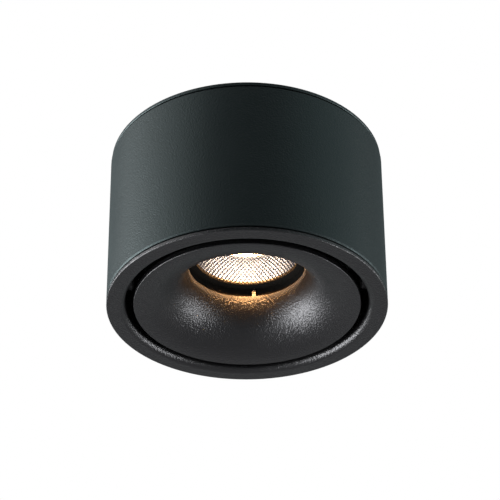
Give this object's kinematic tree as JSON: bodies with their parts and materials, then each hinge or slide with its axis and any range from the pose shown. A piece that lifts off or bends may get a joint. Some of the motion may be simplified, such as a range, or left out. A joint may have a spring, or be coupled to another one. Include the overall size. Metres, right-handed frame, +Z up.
{
  "type": "surface-mounted ceiling light",
  "caption": "Black cylinder ceiling light with a trumpet-shaped trim and a recessed faceted reflector; its LED head swivels in the housing and tilts in a ring.",
  "frame": {"origin": "centre of the ceiling face of the plate", "axes": "+Z up into the ceiling, +X along the tilt axis and the fixing slots, +Y to the back with the cable inlet"},
  "size_m": [0.095, 0.095, 0.06],
  "materials": {
    "black_coat": "fine-textured matt black powder coat",
    "trim_coat": "coarser sand-textured matt black powder coat",
    "black_rubber": "matt black rubber",
    "black_nylon": "smooth black nylon",
    "collar_plastic": "matt black flocked plastic",
    "white_plastic": "plain white plastic",
    "board_green": "circuit board",
    "brass": "plain brass",
    "zinc_steel": "zinc-plated steel",
    "black_steel": "blackened steel",
    "reflector_metal": "bright anodised, faceted",
    "led_carrier": "white-lacquered aluminium",
    "phosphor": "warm white phosphor, lit",
    "thermal_grey": "soft grey pad",
    "sink_aluminium": "as-cast aluminium"
  },
  "bodies": {
    "housing": {"ceiling_plate": "black_coat", "cable_grommet": "black_rubber", "terminal_block": "white_plastic", "terminal_screws": "brass", "earth_screw": "brass", "driver_case": "white_plastic", "driver_lid": "white_plastic", "driver_board": "board_green", "driver_screws": "black_steel", "housing_tube": "black_coat", "side_screws": "black_steel", "glide_washer": "black_nylon", "friction_ring": "black_rubber"},
    "swivel": {"swivel_ring": "trim_coat", "retaining_ring": "zinc_steel", "pivot_screws": "black_steel", "tilt_washers": "black_nylon"},
    "head": {"trim_funnel": "trim_coat", "reflector_collar": "collar_plastic", "reflector": "reflector_metal", "led_board": "led_carrier", "led_phosphor": "phosphor", "led_holder": "white_plastic", "holder_screws": "zinc_steel", "thermal_pad": "thermal_grey", "heat_sink": "sink_aluminium", "heat_sink_screws": "zinc_steel"}
  },
  "joints": [
    {"name": "head_swivel", "type": "hinge", "parent": "housing", "child": "swivel", "pos_m": [0, 0, -0.0465], "axis": [0, 0, 1], "range_deg": [-174, 174]},
    {"name": "head_tilt", "type": "hinge", "parent": "swivel", "child": "head", "pos_m": [0, 0, -0.0465], "axis": [1, 0, 0], "range_deg": [-25, 25]}
  ]
}
